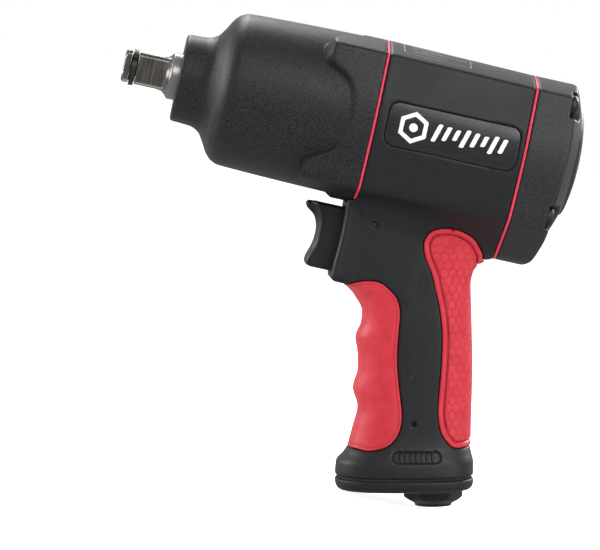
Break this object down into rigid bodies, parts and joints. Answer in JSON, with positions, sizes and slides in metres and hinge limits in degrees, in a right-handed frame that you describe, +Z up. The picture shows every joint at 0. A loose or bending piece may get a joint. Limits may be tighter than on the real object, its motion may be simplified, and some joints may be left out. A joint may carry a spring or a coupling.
{
  "type": "air impact wrench",
  "caption": "Pistol-grip pneumatic impact wrench with a square drive, a rocking-hammer mechanism, a vane motor, a sliding trigger, red soft grips and an air inlet in the butt.",
  "frame": {"origin": "centre of the square drive's end face", "axes": "+X back along the drive axis to the rear cover, +Z up, +Y across; the handle hangs down and leans back"},
  "size_m": [0.1823, 0.0672, 0.177],
  "materials": {
    "case_black": "matte black paint over a cast case",
    "composite_black": "fine-grained black composite",
    "grip_red": "soft red over-moulding",
    "gasket_red": "red gasket sheet",
    "seal_black": "black seal rubber",
    "drive_steel": "ground and brushed",
    "hardened_steel": "dark heat-treated",
    "black_steel": "black oxide",
    "aluminium": "machined",
    "bronze": "sintered bronze",
    "vane_phenolic": "cloth-filled resin",
    "muffler_felt": "pressed felt",
    "name_plate": "satin black with a white mark"
  },
  "bodies": {
    "housing": {"hammer_case": "case_black", "motor_housing": "composite_black", "rear_cover": "composite_black", "exhaust_deflector": "composite_black", "front_grip": "grip_red", "rear_grip": "grip_red", "front_gasket": "gasket_red", "rear_gasket": "gasket_red", "nose_seal": "seal_black", "rod_seal": "seal_black", "inlet_o_ring": "seal_black", "base_gasket": "seal_black", "liner_dowel_pin": "drive_steel", "front_bearing_outer_race": "drive_steel", "rear_bearing_outer_race": "drive_steel", "valve_spring": "drive_steel", "trigger_pin": "drive_steel", "detent_ball": "drive_steel", "detent_spring": "drive_steel", "cylinder_liner": "hardened_steel", "through_bolt_1": "black_steel", "through_bolt_2": "black_steel", "through_bolt_3": "black_steel", "through_bolt_4": "black_steel", "base_screw_1": "black_steel", "base_screw_2": "black_steel", "base_screw_3": "black_steel", "inlet_bushing": "black_steel", "inlet_lock_pin": "black_steel", "front_end_plate": "aluminium", "rear_end_plate": "aluminium", "anvil_bushing": "bronze", "throttle_bushing": "bronze", "valve_seat": "bronze", "inlet_screen": "bronze", "exhaust_muffler": "muffler_felt", "name_plate_left": "name_plate", "name_plate_right": "name_plate"},
    "rotor": {"rotor": "drive_steel", "rotor_vane_1": "vane_phenolic", "rotor_vane_2": "vane_phenolic", "rotor_vane_3": "vane_phenolic", "rotor_vane_4": "vane_phenolic", "rotor_vane_5": "vane_phenolic", "rotor_vane_6": "vane_phenolic", "front_bearing_inner_race": "drive_steel", "rear_bearing_inner_race": "drive_steel", "hammer_cage": "hardened_steel", "hammer_pin_left": "drive_steel", "hammer_pin_right": "drive_steel"},
    "hammer_front": {"hammer_front": "hardened_steel"},
    "hammer_rear": {"hammer_rear": "hardened_steel"},
    "anvil": {"anvil": "drive_steel", "retaining_ring": "black_steel", "retainer_o_ring": "seal_black"},
    "trigger": {"trigger": "composite_black", "throttle_rod": "drive_steel"},
    "throttle_valve": {"throttle_valve": "drive_steel"},
    "selector": {"reverse_valve": "aluminium", "reverse_knob": "composite_black"}
  },
  "joints": [
    {"name": "rotor_spin", "type": "hinge", "parent": "housing", "child": "rotor", "pos_m": [0.126, 0, 0], "axis": [1, 0, 0], "continuous": true},
    {"name": "anvil_spin", "type": "hinge", "parent": "housing", "child": "anvil", "pos_m": [0.033, 0, 0], "axis": [1, 0, 0], "continuous": true},
    {"name": "hammer_front_rock", "type": "hinge", "parent": "rotor", "child": "hammer_front", "pos_m": [0.0593, 0.0176, 0], "axis": [1, 0, 0], "range_deg": [-4, 4]},
    {"name": "hammer_rear_rock", "type": "hinge", "parent": "rotor", "child": "hammer_rear", "pos_m": [0.0757, -0.0176, 0], "axis": [1, 0, 0], "range_deg": [-4, 4]},
    {"name": "trigger_slide", "type": "slide", "parent": "housing", "child": "trigger", "axis": [1, 0, 0], "range_m": [0, 0.005], "stiffness_N_per_m": 1200, "springref_m": -0.005},
    {"name": "throttle_valve_tilt", "type": "hinge", "parent": "housing", "child": "throttle_valve", "pos_m": [0.1362, 0, -0.07751], "axis": [0, 1, 0], "range_deg": [0, 10], "deforming": ["valve_spring"]},
    {"name": "selector_turn", "type": "hinge", "parent": "housing", "child": "selector", "pos_m": [0.17, 0, 0], "axis": [1, 0, 0], "range_deg": [-25, 25]}
  ],
  "couplings": [
    {"joint": "anvil_spin", "follows": "rotor_spin", "ratio": 1},
    {"joint": "throttle_valve_tilt", "follows": "trigger_slide", "rad_per_m": 34.8}
  ]
}
